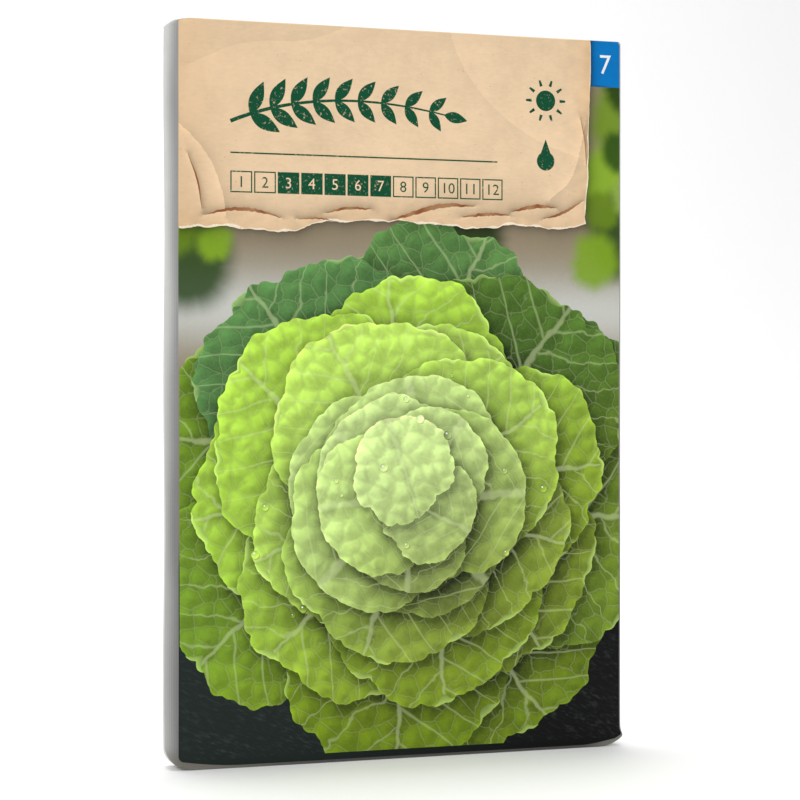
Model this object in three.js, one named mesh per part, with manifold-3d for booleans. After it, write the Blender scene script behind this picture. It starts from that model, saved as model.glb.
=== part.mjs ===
// A seed packet: one sheet of paper folded and glued into a closed pouch, with loose round seeds in it.
// Millimetres, +Z up. The front faces -Y and the origin is the middle of the packet's outer box, at the bottom.
import * as THREE from 'three';
import { mergeVertices } from 'three/addons/utils/BufferGeometryUtils.js';
import Module from 'manifold-3d';

// The flat front panel, from fold to fold.
const PANEL_WIDTH = 110;
const PANEL_HEIGHT = 170;

// How far the folds stand out past the edges of the front panel.
const LEFT_BULGE = 2.4;
const RIGHT_BULGE = 0.6;
const BOTTOM_BULGE = 2.3;
const TOP_BULGE = 0.3;

// The pouch from the front panel to the back panel, and the paper. The laps glued on the back add one thickness.
const POUCH_DEPTH = 9;
const PAPER = 0.4;

// How far each fold reaches over the depth before it runs flat. The bottom stays flat enough to stand on.
const LEFT_FOLD_DEPTH = 4.1;
const RIGHT_FOLD_DEPTH = 0.9;
const BOTTOM_FRONT_FOLD_DEPTH = 0.5;
const BOTTOM_BACK_FOLD_DEPTH = 0.3;
const TOP_FOLD_DEPTH = 0.4;

// Corner radii of the front panel and of the pouch at the middle of its depth.
const PANEL_CORNER = 0.8;
const LOW_LEFT_CORNER = 4.2;
const LOW_RIGHT_CORNER = 2.6;
const CORNER_STEPS = 6;
const FOLD_STEPS = 5;
const LEAST_STATION_GAP = 0.06;

// The glued laps on the back. SUNK is how deep their solids reach into the back, to join it.
const SEAM_WIDTH = 14;
const SEAM_SLOPE = 3;
const SEAM_X = 9;
const BOTTOM_FLAP_HEIGHT = 19;
const TOP_FLAP_HEIGHT = 24;
const FLAP_SIDE_MARGIN = 1.2;
const FLAP_CORNER = 5;
const SUNK = 0.2;

// The unglued end of the seam, just below the top flap, through which the inside meets the air.
const SLIT_HEIGHT = 9;
const SLIT_GAP = 0.14;
const SLIT_REACH = 1.5;
const SLIT_BELOW_FLAP = 1;

// The seeds lie in a low heap along the bottom fold.
const SEED_RADIUS = 0.98;
const SEED_SPREAD = 0.1;
const SEED_PITCH = 2.26;
const SEED_CLEARANCE = 0.3;
const SEED_SHIFT = 0.03;
const HEAP_X = -6;
const HEAP_LAYERS = [
  { rows: 3, along: 11 },
  { rows: 2, along: 6 },
  { rows: 1, along: 3 },
];
const HEAP_RANDOM_SEED = 20;

// Places that follow from the sizes above.
const TOTAL_HEIGHT = BOTTOM_BULGE + PANEL_HEIGHT + TOP_BULGE;
const PANEL_X = (LEFT_BULGE - RIGHT_BULGE) / 2;
const FRONT_Y = -(POUCH_DEPTH + PAPER) / 2;
const BACK_Y = FRONT_Y + POUCH_DEPTH;
const MIDDLE_Y = FRONT_Y + POUCH_DEPTH / 2;

const MERGE_DISTANCE = 1e-4;

const wasm = await Module();
wasm.setup();

function solidOf(geometry) {
  const bare = geometry.index ? geometry.toNonIndexed() : geometry.clone();
  bare.deleteAttribute('normal');
  bare.deleteAttribute('uv');
  const merged = mergeVertices(bare, MERGE_DISTANCE);
  return new wasm.Manifold(new wasm.Mesh({
    numProp: 3,
    vertProperties: new Float32Array(merged.attributes.position.array),
    triVerts: new Uint32Array(merged.index.array),
  }));
}

function geometryOf(solid) {
  const mesh = solid.getMesh();
  const geometry = new THREE.BufferGeometry();
  geometry.setAttribute('position', new THREE.BufferAttribute(new Float32Array(mesh.vertProperties), 3));
  geometry.setIndex(new THREE.BufferAttribute(new Uint32Array(mesh.triVerts), 1));
  geometry.computeVertexNormals();
  return geometry;
}

// One rounded corner, as points of a quarter circle from startAngle on, turning to the left.
function cornerPoints(x, z, radius, startAngle) {
  const points = [];
  for (let i = 0; i <= CORNER_STEPS; i += 1) {
    const angle = startAngle + (i / CORNER_STEPS) * Math.PI / 2;
    points.push(new THREE.Vector2(x + radius * Math.cos(angle), z + radius * Math.sin(angle)));
  }
  return points;
}

// A rectangle seen from the front, with a radius for each corner and the same number of points whatever they are.
function outline(left, right, bottom, top, lowLeft, lowRight, high) {
  return [
    ...cornerPoints(left + lowLeft, bottom + lowLeft, lowLeft, Math.PI),
    ...cornerPoints(right - lowRight, bottom + lowRight, lowRight, 1.5 * Math.PI),
    ...cornerPoints(right - high, top - high, high, 0),
    ...cornerPoints(left + high, top - high, high, 0.5 * Math.PI),
  ];
}

// How far out a fold is at a distance from the middle of the depth: 0 at the panel's edge, 1 where it runs flat.
function foldShare(distance, halfDepth, foldDepth) {
  const past = distance - (halfDepth - foldDepth);
  return past <= 0 ? 1 : Math.sqrt(Math.max(0, 1 - (past / foldDepth) ** 2));
}

// The stations over the depth, closest together where the folds turn most.
function depthStations(halfDepth) {
  const distances = new Set([0]);
  for (const foldDepth of [
    LEFT_FOLD_DEPTH,
    RIGHT_FOLD_DEPTH,
    BOTTOM_FRONT_FOLD_DEPTH,
    BOTTOM_BACK_FOLD_DEPTH,
    TOP_FOLD_DEPTH,
  ]) {
    const reach = Math.min(foldDepth, halfDepth);
    for (let i = 0; i <= FOLD_STEPS; i += 1) {
      distances.add(halfDepth - reach + reach * Math.sin((i / FOLD_STEPS) * Math.PI / 2));
    }
  }
  const sorted = [...distances].sort((a, b) => a - b);
  const last = sorted.length - 1;
  const spaced = sorted.filter((d, i) => i === 0 || i === last || d - sorted[i - 1] > LEAST_STATION_GAP);
  return [...spaced.slice(1).reverse().map((d) => -d), ...spaced];
}

// The pouch's outer form, or its inner form when it is drawn in by a thickness of paper.
function pouchForm(inset) {
  const panelLeft = PANEL_X - PANEL_WIDTH / 2 + inset;
  const panelRight = PANEL_X + PANEL_WIDTH / 2 - inset;
  const panelBottom = BOTTOM_BULGE + inset;
  const panelTop = TOTAL_HEIGHT - TOP_BULGE - inset;
  const halfDepth = POUCH_DEPTH / 2 - inset;
  const panel = outline(panelLeft, panelRight, panelBottom, panelTop, PANEL_CORNER, PANEL_CORNER, PANEL_CORNER);
  const middle = outline(
    panelLeft - LEFT_BULGE,
    panelRight + RIGHT_BULGE,
    panelBottom - BOTTOM_BULGE,
    panelTop + TOP_BULGE,
    LOW_LEFT_CORNER,
    LOW_RIGHT_CORNER,
    PANEL_CORNER,
  );
  const stations = depthStations(halfDepth);
  const count = panel.length;
  const positions = [];
  for (const offset of stations) {
    const distance = Math.abs(offset);
    const bottomFoldDepth = offset < 0 ? BOTTOM_FRONT_FOLD_DEPTH : BOTTOM_BACK_FOLD_DEPTH;
    for (let i = 0; i < count; i += 1) {
      const isLeft = panel[i].x < PANEL_X;
      const isLow = panel[i].y < TOTAL_HEIGHT / 2;
      const sideShare = foldShare(distance, halfDepth, isLeft ? LEFT_FOLD_DEPTH : RIGHT_FOLD_DEPTH);
      const endShare = foldShare(distance, halfDepth, isLow ? bottomFoldDepth : TOP_FOLD_DEPTH);
      positions.push(
        panel[i].x + (middle[i].x - panel[i].x) * sideShare,
        MIDDLE_Y + offset,
        panel[i].y + (middle[i].y - panel[i].y) * endShare,
      );
    }
  }
  const index = [];
  for (let row = 0; row < stations.length - 1; row += 1) {
    for (let i = 0; i < count; i += 1) {
      const a = row * count + i;
      const b = row * count + (i + 1) % count;
      index.push(a, b, b + count, a, b + count, a + count);
    }
  }
  const last = (stations.length - 1) * count;
  for (const [p, q, r] of THREE.ShapeUtils.triangulateShape(panel, [])) {
    index.push(p, r, q, last + p, last + q, last + r);
  }
  const geometry = new THREE.BufferGeometry();
  geometry.setAttribute('position', new THREE.Float32BufferAttribute(positions, 3));
  geometry.setIndex(index);
  return facingOut(geometry);
}

// Turns every triangle round if the closed surface encloses a negative volume.
function facingOut(geometry) {
  const points = geometry.attributes.position;
  const index = geometry.index.array;
  const [a, b, c] = [new THREE.Vector3(), new THREE.Vector3(), new THREE.Vector3()];
  let volume = 0;
  for (let i = 0; i < index.length; i += 3) {
    a.fromBufferAttribute(points, index[i]);
    b.fromBufferAttribute(points, index[i + 1]);
    c.fromBufferAttribute(points, index[i + 2]);
    volume += a.dot(b.cross(c));
  }
  if (volume < 0) {
    for (let i = 0; i < index.length; i += 3) {
      [index[i], index[i + 1]] = [index[i + 1], index[i]];
    }
  }
  return geometry;
}

// A flat lap on the back, drawn as seen from the front and standing one paper thickness proud.
function backLap(shape) {
  const lap = new THREE.ExtrudeGeometry(shape, { depth: PAPER + SUNK, bevelEnabled: false, curveSegments: 4 });
  lap.rotateX(Math.PI / 2);
  lap.translate(0, BACK_Y + PAPER, 0);
  return solidOf(lap);
}

// The flap that closes one end, with its free edge towards the middle and its two free corners cut off.
function endFlap(foldZ, freeZ) {
  const left = PANEL_X - PANEL_WIDTH / 2 + FLAP_SIDE_MARGIN;
  const right = PANEL_X + PANEL_WIDTH / 2 - FLAP_SIDE_MARGIN;
  const cut = Math.sign(foldZ - freeZ) * FLAP_CORNER;
  const shape = new THREE.Shape();
  shape.moveTo(left, foldZ);
  shape.lineTo(right, foldZ);
  shape.lineTo(right, freeZ + cut);
  shape.lineTo(right - FLAP_CORNER, freeZ);
  shape.lineTo(left + FLAP_CORNER, freeZ);
  shape.lineTo(left, freeZ + cut);
  shape.closePath();
  return backLap(shape);
}

// The long lap seam: the left half of the back slopes up on to the right half and ends in a cut edge.
function seamLap(bottomZ, topZ) {
  const start = SEAM_X - SEAM_WIDTH / 2;
  const end = SEAM_X + SEAM_WIDTH / 2;
  const section = new THREE.Shape();
  section.moveTo(start - SEAM_SLOPE, BACK_Y - SUNK);
  section.lineTo(end, BACK_Y - SUNK);
  section.lineTo(end, BACK_Y + PAPER);
  section.lineTo(start, BACK_Y + PAPER);
  section.lineTo(start - SEAM_SLOPE, BACK_Y);
  section.closePath();
  const lap = new THREE.ExtrudeGeometry(section, { depth: topZ - bottomZ, bevelEnabled: false });
  lap.translate(0, 0, bottomZ);
  return solidOf(lap);
}

function boxSolid(x0, x1, y0, y1, z0, z1) {
  const box = new THREE.BoxGeometry(x1 - x0, y1 - y0, z1 - z0);
  box.translate((x0 + x1) / 2, (y0 + y1) / 2, (z0 + z1) / 2);
  return solidOf(box);
}

// The gap that the glue leaves between the two layers of the seam, from its cut edge to the inside of the pouch.
function seamSlit() {
  const topZ = TOTAL_HEIGHT - TOP_FLAP_HEIGHT - SLIT_BELOW_FLAP;
  const bottomZ = topZ - SLIT_HEIGHT;
  const inner = SEAM_X - SEAM_WIDTH / 2 + SLIT_REACH;
  const outer = SEAM_X + SEAM_WIDTH / 2 + SLIT_REACH;
  const between = boxSolid(inner, outer, BACK_Y - SLIT_GAP / 2, BACK_Y + SLIT_GAP / 2, bottomZ, topZ);
  const inwards = boxSolid(inner, inner + SLIT_REACH, BACK_Y - PAPER - SUNK, BACK_Y, bottomZ, topZ);
  return between.add(inwards);
}

function paperPouch() {
  const flapBottomZ = BOTTOM_BULGE + PANEL_CORNER;
  const flapTopZ = TOTAL_HEIGHT - TOP_BULGE - PANEL_CORNER;
  const body = solidOf(pouchForm(0))
    .add(seamLap(flapBottomZ, flapTopZ))
    .add(endFlap(flapBottomZ, BOTTOM_BULGE + BOTTOM_FLAP_HEIGHT))
    .add(endFlap(flapTopZ, TOTAL_HEIGHT - TOP_FLAP_HEIGHT));
  const hollow = body.subtract(solidOf(pouchForm(PAPER)));
  const paper = new THREE.MeshStandardMaterial({ color: 0xc9c8c2, roughness: 0.62, metalness: 0 });
  const mesh = new THREE.Mesh(geometryOf(hollow.subtract(seamSlit())), paper);
  mesh.name = 'paper_pouch';
  return mesh;
}

// A repeatable draw between 0 and 1, by the mulberry32 method.
function makeRandom(seed) {
  let state = seed;
  return () => {
    state = (state + 0x6d2b79f5) | 0;
    let t = Math.imul(state ^ (state >>> 15), 1 | state);
    t = (t + Math.imul(t ^ (t >>> 7), 61 | t)) ^ t;
    return ((t ^ (t >>> 14)) >>> 0) / 4294967296;
  };
}

// Each layer of the heap lies in the hollows of the one below it.
function seedHeap() {
  const heap = new THREE.Group();
  const random = makeRandom(HEAP_RANDOM_SEED);
  const floorZ = PAPER + SEED_CLEARANCE + SEED_RADIUS;
  let number = 0;
  HEAP_LAYERS.forEach(({ rows, along }, layer) => {
    for (let i = 0; i < along; i += 1) {
      for (let j = 0; j < rows; j += 1) {
        const radius = SEED_RADIUS - SEED_SPREAD * random();
        const seedCoat = new THREE.MeshStandardMaterial({ color: 0x3d241b, roughness: 0.55, metalness: 0 });
        const seed = new THREE.Mesh(new THREE.IcosahedronGeometry(radius, 1), seedCoat);
        seed.position.set(
          HEAP_X + (i - (along - 1) / 2) * SEED_PITCH + SEED_SHIFT * (2 * random() - 1),
          MIDDLE_Y + (j - (rows - 1) / 2) * SEED_PITCH + SEED_SHIFT * (2 * random() - 1),
          floorZ + layer * SEED_PITCH / Math.SQRT2,
        );
        seed.rotation.set(Math.PI * random(), Math.PI * random(), Math.PI * random());
        number += 1;
        seed.name = `seed_${String(number).padStart(2, '0')}`;
        heap.add(seed);
      }
    }
  });
  return heap;
}

const seedPacket = new THREE.Group();
seedPacket.add(paperPouch());
seedPacket.add(seedHeap());

export default seedPacket;
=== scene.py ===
import math

import bmesh
import bpy
import numpy as np
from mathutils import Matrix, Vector
from mathutils.geometry import delaunay_2d_cdt
from mathutils.kdtree import KDTree


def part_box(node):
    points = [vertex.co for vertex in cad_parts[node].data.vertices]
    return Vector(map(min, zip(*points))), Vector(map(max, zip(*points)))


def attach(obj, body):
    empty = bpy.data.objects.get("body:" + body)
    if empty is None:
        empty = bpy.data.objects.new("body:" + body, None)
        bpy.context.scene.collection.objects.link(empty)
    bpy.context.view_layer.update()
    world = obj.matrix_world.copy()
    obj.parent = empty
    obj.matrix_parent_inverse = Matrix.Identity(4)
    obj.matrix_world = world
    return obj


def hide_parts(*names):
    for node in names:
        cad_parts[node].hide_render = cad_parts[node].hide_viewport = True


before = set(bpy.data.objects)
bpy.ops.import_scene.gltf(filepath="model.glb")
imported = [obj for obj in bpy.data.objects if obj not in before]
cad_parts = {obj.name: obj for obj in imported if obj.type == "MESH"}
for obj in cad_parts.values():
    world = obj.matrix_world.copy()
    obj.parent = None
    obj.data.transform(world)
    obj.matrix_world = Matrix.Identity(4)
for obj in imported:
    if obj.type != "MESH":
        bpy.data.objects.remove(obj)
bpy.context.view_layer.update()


# The photographer's table: a pale sheet that curves up behind the packet, five soft lamps, and the camera.
# The camera stands to the left of the front, level with the middle of the packet, about half a metre away.
MM = 0.001
VIEW_TURN = math.radians(18.8)
VIEW_DISTANCE = 509.3
VIEW_ASIDE = 1.67
EYE_HEIGHT = 87.3
FOCAL_PX = 2150
PHOTO_PX = 800
HORIZON_PX = 390
SENSOR = 36

PANEL_WIDTH = 110
PANEL_HEIGHT = 170
LEFT_BULGE = 2.4
pouch_low = np.array(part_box("paper_pouch")[0]) / MM
panel_x = pouch_low[0] + LEFT_BULGE + PANEL_WIDTH / 2
front_y = pouch_low[1]

ahead = np.array([math.sin(VIEW_TURN), math.cos(VIEW_TURN)])
aside = np.array([math.cos(VIEW_TURN), -math.sin(VIEW_TURN)])
eye = np.array([panel_x, front_y]) - VIEW_DISTANCE * ahead - VIEW_ASIDE * aside

camera_data = bpy.data.cameras.new("camera")
camera_data.sensor_width = SENSOR
camera_data.lens = SENSOR * FOCAL_PX / PHOTO_PX
camera_data.clip_start = 0.01
camera_data.clip_end = 20


def add_object(name, data):
    made = bpy.data.objects.new(name, data)
    bpy.context.collection.objects.link(made)
    return made


camera = add_object("camera", camera_data)
camera.location = (eye[0] * MM, eye[1] * MM, EYE_HEIGHT * MM)
pitch = math.atan((PHOTO_PX / 2 - HORIZON_PX) / FOCAL_PX)
camera.rotation_euler = (math.pi / 2 - pitch, 0, -VIEW_TURN)
bpy.context.scene.camera = camera
bpy.context.scene.view_settings.view_transform = "Standard"


# Adds a node, sets it up, and feeds its inputs from other nodes' sockets or with plain values.
def put_node(tree, kind, inputs=None, **settings):
    made = tree.nodes.new(kind)
    for name, value in settings.items():
        setattr(made, name, value)
    for name, value in (inputs or {}).items():
        if isinstance(value, bpy.types.NodeSocket):
            tree.links.new(value, made.inputs[name])
        else:
            made.inputs[name].default_value = value
    return made


def new_material(name):
    material = bpy.data.materials.new(name)
    material.use_nodes = True
    material.node_tree.nodes.clear()
    return material, material.node_tree


def finish_material(tree, shader_inputs):
    shader = put_node(tree, "ShaderNodeBsdfPrincipled", shader_inputs)
    put_node(tree, "ShaderNodeOutputMaterial", {"Surface": shader.outputs[0]})


# A lamp with a soft square face, aimed at a point.
def soft_lamp(name, place, aim, size, power):
    lamp = bpy.data.lights.new(name, "AREA")
    lamp.shape = "SQUARE"
    lamp.size = size
    lamp.energy = power
    holder = add_object(name, lamp)
    holder.location = place
    holder.rotation_euler = (Vector(aim) - holder.location).to_track_quat("-Z", "Y").to_euler()


packet_middle = (0, 0, PANEL_HEIGHT * MM / 2)
soft_lamp("front_lamp", (-0.39, -1.08, 0.60), packet_middle, size=0.8, power=3.5)
soft_lamp("left_lamp", (-0.80, 0.10, 0.55), packet_middle, size=0.5, power=1.1)
soft_lamp("right_lamp", (1.0, -0.46, 0.45), packet_middle, size=0.6, power=1.0)
soft_lamp("table_lamp", (-0.1, -0.25, 1.8), (0, 0.2, 0), size=1.2, power=12)
soft_lamp("sweep_lamp", (0, 0.5, 2.2), (0, 2.0, 0.3), size=1.0, power=24)

world = bpy.data.worlds.new("studio")
world.use_nodes = True
sky = world.node_tree.nodes["Background"]
sky.inputs["Color"].default_value = (1, 1, 1, 1)
sky.inputs["Strength"].default_value = 0.4
bpy.context.scene.world = world

TABLE_HALF_WIDTH = 2.5
TABLE_FRONT = -2.0
TABLE_BACK = 0.9
SWEEP_RADIUS = 0.7
SWEEP_TOP = 2.2
SWEEP_STEPS = 24
sweep_turn = [math.pi / 2 * step / SWEEP_STEPS for step in range(SWEEP_STEPS + 1)]
profile = [(TABLE_FRONT, 0.0)]
profile += [(TABLE_BACK + SWEEP_RADIUS * math.sin(t), SWEEP_RADIUS * (1 - math.cos(t))) for t in sweep_turn]
profile += [(TABLE_BACK + SWEEP_RADIUS, SWEEP_TOP)]
sheet_points = [(x, y, z) for y, z in profile for x in (-TABLE_HALF_WIDTH, TABLE_HALF_WIDTH)]
sheet_faces = [(2 * i, 2 * i + 1, 2 * i + 3, 2 * i + 2) for i in range(len(profile) - 1)]
sheet_mesh = bpy.data.meshes.new("table_sheet")
sheet_mesh.from_pydata(sheet_points, [], sheet_faces)
sheet_mesh.polygons.foreach_set("use_smooth", [True] * len(sheet_faces))
table_sheet = add_object("table_sheet", sheet_mesh)
pale_table, tree = new_material("pale_table")
finish_material(tree, {"Base Color": (0.93, 0.93, 0.93, 1), "Roughness": 0.7})
sheet_mesh.materials.append(pale_table)


# The pouch: one sheet of coated paper, printed on the front, folded round, and glued at the back and at both
# ends. Its left side is a soft round fold, its right one is pressed sharper, and it stands on the bottom one.
RIGHT_BULGE = 0.6
BOTTOM_BULGE = 2.3
TOP_BULGE = 0.3
POUCH_DEPTH = 9
LEFT_FOLD = 4.1
RIGHT_FOLD = 0.9
BOTTOM_FOLD_FRONT = 0.5
BOTTOM_FOLD_BACK = 0.3
TOP_FOLD = 0.4
PANEL_CORNER = (0.8, 0.8)
LOW_LEFT_CORNER = (5.0, 5.0)
LOW_RIGHT_CORNER = (6.5, 2.6)
HIGH_LEFT_CORNER = (1.6, 1.2)
RING_STEP = 0.8
CORNER_STEPS = 9

panel_z = pouch_low[2] + BOTTOM_BULGE
half_width = PANEL_WIDTH / 2
side_lengths = [PANEL_WIDTH, PANEL_HEIGHT, PANEL_WIDTH, PANEL_HEIGHT]


# A closed line round a rectangle seen from the front, from the left side by way of the bottom. Each corner
# has its own reach along the bottom or top and up the side.
def rounded_line(left, right, bottom, top, low_left, low_right, high_right, high_left):
    corners = [
        (left + low_left[0], bottom + low_left[1], low_left, math.pi),
        (right - low_right[0], bottom + low_right[1], low_right, 1.5 * math.pi),
        (right - high_right[0], top - high_right[1], high_right, 0),
        (left + high_left[0], top - high_left[1], high_left, 0.5 * math.pi),
    ]
    points = []
    for number, (x, z, reach, start) in enumerate(corners):
        turn = start + np.linspace(0, math.pi / 2, CORNER_STEPS + 1)
        arc = np.stack([x + reach[0] * np.cos(turn), z + reach[1] * np.sin(turn)], axis=1)
        next_x, next_z, next_reach, next_start = corners[(number + 1) % 4]
        next_out = (next_reach[0] * math.cos(next_start), next_reach[1] * math.sin(next_start))
        goal = np.array([next_x, next_z]) + next_out
        steps = round(side_lengths[number] / RING_STEP)
        share = (np.arange(1, steps) / steps)[:, None]
        points += [arc, arc[-1] + (goal - arc[-1]) * share]
    return np.concatenate(points)


# One value for each point of such a line, changing from side to side as the line turns the corners.
def values_round(left, bottom, right, top):
    sides = [left, bottom, right, top, left]
    values = []
    for number in range(4):
        share = np.linspace(0, 1, CORNER_STEPS + 1)
        values.append(sides[number] + (sides[number + 1] - sides[number]) * share)
        values.append(np.full(round(side_lengths[number] / RING_STEP) - 1, float(sides[number + 1])))
    return np.concatenate(values)


panel_line = rounded_line(-half_width, half_width, 0, PANEL_HEIGHT, *[PANEL_CORNER] * 4)
widest_line = rounded_line(
    -half_width - LEFT_BULGE,
    half_width + RIGHT_BULGE,
    -BOTTOM_BULGE,
    PANEL_HEIGHT + TOP_BULGE,
    LOW_LEFT_CORNER,
    LOW_RIGHT_CORNER,
    PANEL_CORNER,
    HIGH_LEFT_CORNER,
)


# Colours are given as they look on the printed sheet, 0 to 255, and turned into the renderer's light values.
def tone(red, green, blue):
    value = np.array([red, green, blue]) / 255
    return np.where(value <= 0.04045, value / 12.92, ((value + 0.055) / 1.055) ** 2.4)


def blend(low, high, share):
    share = np.clip(np.asarray(share, float), 0, 1)[..., None]
    return low * (1 - share) + high * share


def soft_step(value, low, high):
    share = np.clip((value - low) / (high - low), 0, 1)
    return share * share * (3 - 2 * share)


# The printed areas, each laid over those before it: its outlines, its colours as a function of x and z in the
# panel, and the finish that its ink has on the sheet.
PICTURE, KRAFT, WORN_INK, SOLID_INK, BARE = range(5)
printed_areas = []


def print_area(outlines, colours, finish):
    printed_areas.append((outlines, colours, finish))


# Colours of a print with no leaf in it, so with no place on a leaf.
def no_leaf(colour):
    return colour, np.zeros(colour.shape)


def one_colour(colour):
    return lambda x, z: no_leaf(np.tile(colour, (len(x), 1)))


# The head of leaves in the picture, seen from above: darker loose leaves outside with their tips outwards,
# and paler ones inside that are turned round, so that their tips lap over the heart. All of it is printed.
HEAD_X, HEAD_Z = 0.5, 60.0
LAMP_SIDE = np.array([-0.55, 0.83])
LEAF_DARK = tone(38, 70, 16)
LEAF_BLUE = tone(66, 110, 66)
LEAF_MIDDLE = tone(144, 184, 44)
LEAF_PALE = tone(178, 214, 92)
LEAF_HEART = tone(200, 226, 144)
LEAF_OLIVE = tone(134, 148, 2)
GOLDEN_TURN = math.radians(137.5)
FRILLS = np.array([2, 3, 5, 8, 13, 21, 34, 55])
LEAF_RINGS = [
    {"count": 9, "out": 34, "size": 31, "frill": 0.085, "shade": 0.24, "turn": 0},
    {"count": 7, "out": 23, "size": 29, "frill": 0.075, "shade": 0.56, "turn": 0},
    {"count": 6, "out": 15, "size": 27, "frill": 0.060, "shade": 0.76, "turn": 0},
    {"count": 5, "out": 12, "size": 22, "frill": 0.10, "shade": 0.88, "turn": math.pi},
    {"count": 4, "out": 10, "size": 17, "frill": 0.11, "shade": 0.96, "turn": math.pi},
    {"count": 2, "out": 8.5, "size": 13.5, "frill": 0.12, "shade": 1.0, "turn": math.pi},
]
ROLLED_RINGS = 4
ROLLS = 3
leaves = []


class Leaf:
    def __init__(self, x, z, heading, size, frill, shade, draw, rank=0):
        self.x, self.z, self.heading, self.size = x, z, heading, size
        self.frill, self.shade, self.rank = frill, shade, rank
        self.phases = draw.uniform(0, 2 * math.pi, len(FRILLS))

    # From the leaf's middle to its edge, at an angle counted from its tip. The tip half is frilled most.
    def edge(self, angle):
        angle = np.asarray(angle)
        scallops = np.abs(np.sin((angle[..., None] * FRILLS + self.phases) / 2))
        waves = (2 * scallops - 1.3) / FRILLS ** 0.62
        loose = 0.3 + 0.7 * (1 + np.cos(angle)) / 2
        round_form = 0.92 + 0.09 * np.cos(angle) - 0.04 * np.cos(2 * angle)
        return self.size * (round_form + self.frill * loose * waves.sum(axis=-1))

    def at(self, angle, reach):
        turned = angle + self.heading
        return np.stack([self.x + reach * np.cos(turned), self.z + reach * np.sin(turned)], axis=1)

    def outline(self):
        angle = np.linspace(0, 2 * math.pi, int(2 * math.pi * self.size / 0.55), endpoint=False)
        return self.at(angle, self.edge(angle))

    # Places along the leaf's rib and across it, and how far inside the edge each point lies.
    def places(self, x, z):
        dx, dz = x - self.x, z - self.z
        along = dx * math.cos(self.heading) + dz * math.sin(self.heading)
        across = dz * math.cos(self.heading) - dx * math.sin(self.heading)
        return along, across, self.edge(np.arctan2(across, along)) - np.hypot(along, across)

    def colours(self, x, z):
        along, across, inside = self.places(x, z)
        inside = np.maximum(inside, 0)
        every = np.ones(len(x))
        outer = blend(LEAF_DARK, LEAF_BLUE, every * (0.5 + 0.5 * math.sin(4 * self.phases[0])))
        colour = blend(outer, LEAF_MIDDLE, every * self.shade / 0.4)
        colour = blend(colour, LEAF_PALE, every * (self.shade - 0.4) / 0.35)
        colour = blend(colour, LEAF_HEART, every * (self.shade - 0.75) / 0.25)
        colour = blend(colour, LEAF_HEART, 0.5 * soft_step(-along, -0.1 * self.size, 0.9 * self.size))
        lamp_along = math.cos(self.heading) * LAMP_SIDE[0] + math.sin(self.heading) * LAMP_SIDE[1]
        lamp_across = math.cos(self.heading) * LAMP_SIDE[1] - math.sin(self.heading) * LAMP_SIDE[0]
        dome = ((x - HEAD_X) * LAMP_SIDE[0] + (z - HEAD_Z) * LAMP_SIDE[1]) / 55
        colour = blend(colour, LEAF_OLIVE, (0.3 + 0.4 * self.shade) * soft_step(-dome, -0.2, 0.7))
        slope = (along * lamp_along + across * lamp_across) / self.size
        fold = np.tanh(across / (0.14 * self.size)) * lamp_across
        light = 1.1 + 0.13 * dome + 0.28 * slope * np.exp(-inside / 9) - 0.13 * fold
        light += 0.12 * np.exp(-inside / 2.2) * np.sin(30 * np.arctan2(across, along) + self.phases[1])
        light += 0.32 * np.exp(-inside / 0.45)
        for upper in leaves[self.rank:] if self.rank else []:
            close = -upper.places(x + 1.1 * LAMP_SIDE[0], z + 1.1 * LAMP_SIDE[1])[2]
            far = -upper.places(x + 3.5 * LAMP_SIDE[0], z + 3.5 * LAMP_SIDE[1])[2]
            light *= 1 - 0.55 * np.exp(-np.maximum(close, 0) / 1.3)
            light *= 1 - 0.26 * np.exp(-np.maximum(far, 0) / 4.5)
        place = np.stack([along / self.size, across / self.size, every * self.rank], axis=1)
        return colour * light[:, None], place


# Behind the head, out of focus: a wall, a pale shelf edge, a slate table and a few more leaves. Each leaf has
# a place, the way it points, its size, its colour and the width of its blurred edge.
WALL = tone(150, 136, 111)
PALE_SHELF = tone(198, 199, 192)
SLATE = tone(8, 10, 9)
SLATE_LIGHT = tone(29, 38, 36)
BLURRED_LEAVES = [
    (-52, 113, 2.2, 11, LEAF_DARK, 3.5),
    (56, 150, 1.2, 10, LEAF_MIDDLE * 0.6, 3.0),
    (51, 138, -1.0, 8, LEAF_MIDDLE * 0.9, 2.5),
    (57, 122, 0.4, 12, LEAF_DARK, 3.0),
    (49, 116, 2.6, 7, LEAF_MIDDLE * 0.75, 2.2),
    (12, 122, 1.0, 13, LEAF_DARK * 0.7, 3.0),
    (57, 158, 2.0, 6, LEAF_DARK * 0.8, 1.8),
    (55, 143, 0.5, 5.5, LEAF_DARK * 1.2, 1.6),
    (50, 129, -2.0, 5, LEAF_MIDDLE * 0.5, 1.5),
    (58, 132, 2.8, 5, LEAF_PALE * 0.6, 1.5),
    (-57, 122, 0.8, 7, LEAF_MIDDLE * 0.5, 2.0),
    (-47, 119, -0.4, 4.5, LEAF_MIDDLE * 0.8, 1.6),
]
BLURRED_FRILL, BLURRED_SHADE = 0.12, 0.3
blurred = []
for number, (x, z, heading, size, colour, blur) in enumerate(BLURRED_LEAVES):
    draw = np.random.default_rng(80 + number)
    blurred.append((Leaf(x, z, heading, size, BLURRED_FRILL, BLURRED_SHADE, draw), colour, blur))


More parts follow.
